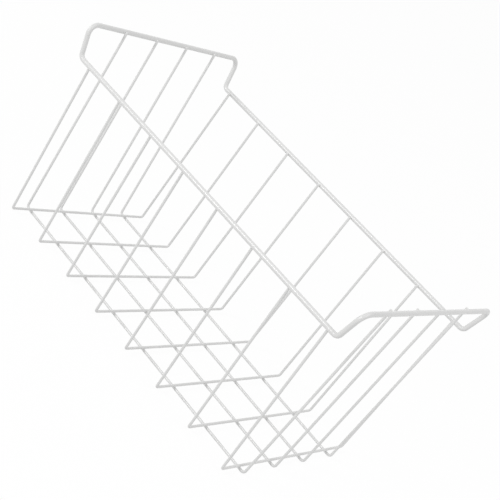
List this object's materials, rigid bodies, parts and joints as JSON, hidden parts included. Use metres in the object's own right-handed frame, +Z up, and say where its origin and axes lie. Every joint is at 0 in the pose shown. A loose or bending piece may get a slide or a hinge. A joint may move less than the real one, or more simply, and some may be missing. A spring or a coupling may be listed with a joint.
{
  "type": "freezer wire basket",
  "caption": "Open flared wire basket with a thick rim that rises at both ends into hanger bars, for hanging in a chest freezer and holding packaged food.",
  "frame": {"origin": "centre of the footprint, on the surface that the basket stands on", "axes": "+X along the basket towards one hanger bar, +Y across it, +Z up out of the mouth"},
  "size_m": [0.496, 0.289, 0.2598],
  "materials": {
    "coated_wire": "gloss white plastic coating on steel wire"
  },
  "bodies": {
    "root": {"rim": "coated_wire", "cross_wire_1": "coated_wire", "cross_wire_2": "coated_wire", "cross_wire_3": "coated_wire", "cross_wire_4": "coated_wire", "cross_wire_5": "coated_wire", "cross_wire_6": "coated_wire", "cross_wire_7": "coated_wire", "cross_wire_8": "coated_wire", "length_wire_1": "coated_wire", "length_wire_2": "coated_wire", "length_wire_3": "coated_wire", "length_wire_4": "coated_wire"}
  },
  "joints": []
}
